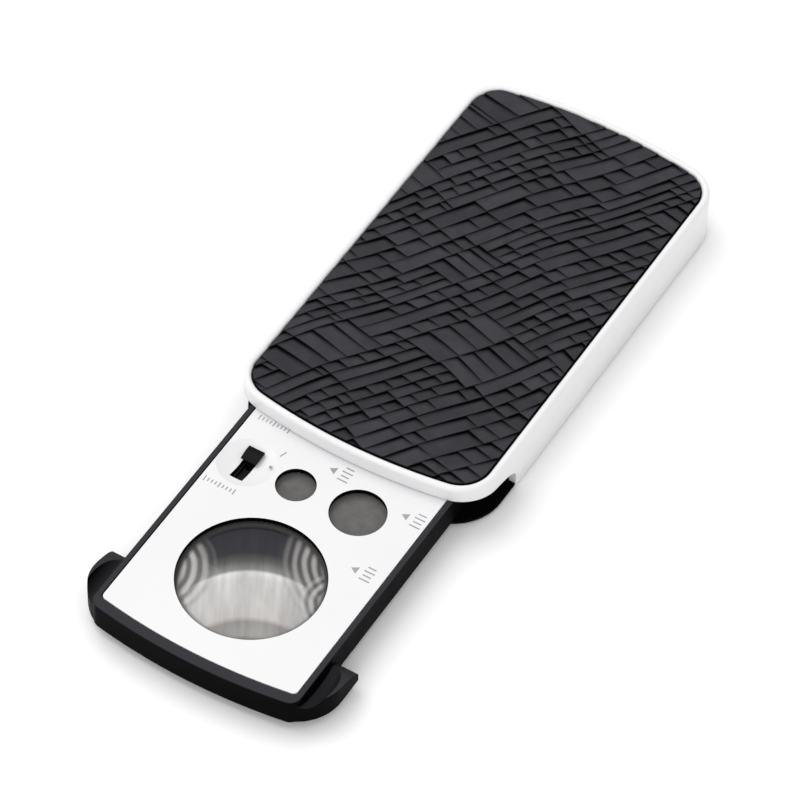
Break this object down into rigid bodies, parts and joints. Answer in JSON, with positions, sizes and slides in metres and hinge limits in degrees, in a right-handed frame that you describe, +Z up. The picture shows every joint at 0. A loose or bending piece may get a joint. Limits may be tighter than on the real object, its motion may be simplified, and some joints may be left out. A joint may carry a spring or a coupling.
{
  "type": "pull-out lamp loupe",
  "caption": "Flat pull-out pocket loupe for checking banknotes: a lens tray with lamps slides in a two-tone sleeve that has an embossed black grip pad.",
  "frame": {"origin": "middle of the resting face under the object's whole length, with the tray pulled out", "axes": "+X across the width, +Y from the tray's front towards the closed end of the sleeve, +Z up from the resting face through the grip pad"},
  "size_m": [0.051, 0.1442, 0.0109],
  "materials": {
    "white_plastic": "smooth satin white moulding",
    "plate_plastic": "smooth white moulding with faint grey print",
    "black_plastic": "fine satin black moulding",
    "tray_plastic": "satin black moulding",
    "knob_plastic": "polished black",
    "embossed_pad": "embossed imitation leather, irregular shingled blocks",
    "lens_glass": "clear polished lens",
    "screw_steel": "bright steel",
    "cell_steel": "nickel plated steel",
    "contact_metal": "plated spring brass",
    "board_laminate": "green solder mask",
    "lamp_clear": "clear resin over pale phosphor",
    "lamp_violet": "clear violet resin"
  },
  "bodies": {
    "sleeve": {"upper_shell": "white_plastic", "lower_shell": "black_plastic", "grip_pad": "embossed_pad", "shell_screw_1": "screw_steel", "shell_screw_2": "screw_steel", "shell_screw_3": "screw_steel", "shell_screw_4": "screw_steel"},
    "tray": {"tray_frame": "tray_plastic", "face_plate": "plate_plastic", "lens_30x": "lens_glass", "lens_ring_30x": "tray_plastic", "lens_60x": "lens_glass", "lens_ring_60x": "tray_plastic", "lens_90x": "lens_glass", "lens_ring_90x": "tray_plastic", "tray_screw_1": "screw_steel", "tray_screw_2": "screw_steel", "tray_screw_3": "screw_steel", "tray_screw_4": "screw_steel", "switch_body": "tray_plastic", "circuit_board": "board_laminate", "white_led_1": "lamp_clear", "white_led_2": "lamp_clear", "uv_led": "lamp_violet", "button_cell_1": "cell_steel", "button_cell_2": "cell_steel", "button_cell_3": "cell_steel", "cell_link_upper": "contact_metal", "cell_link_lower": "contact_metal", "contact_positive": "contact_metal", "contact_negative": "contact_metal", "battery_door": "tray_plastic", "door_screw": "screw_steel"},
    "switch": {"switch_knob": "knob_plastic"}
  },
  "joints": [
    {"name": "tray_slide", "type": "slide", "parent": "sleeve", "child": "tray", "axis": [0, 1, 0], "range_m": [0, 0.0514]},
    {"name": "switch_slide", "type": "slide", "parent": "tray", "child": "switch", "axis": [0, 1, 0], "range_m": [-0.004, 0]}
  ]
}
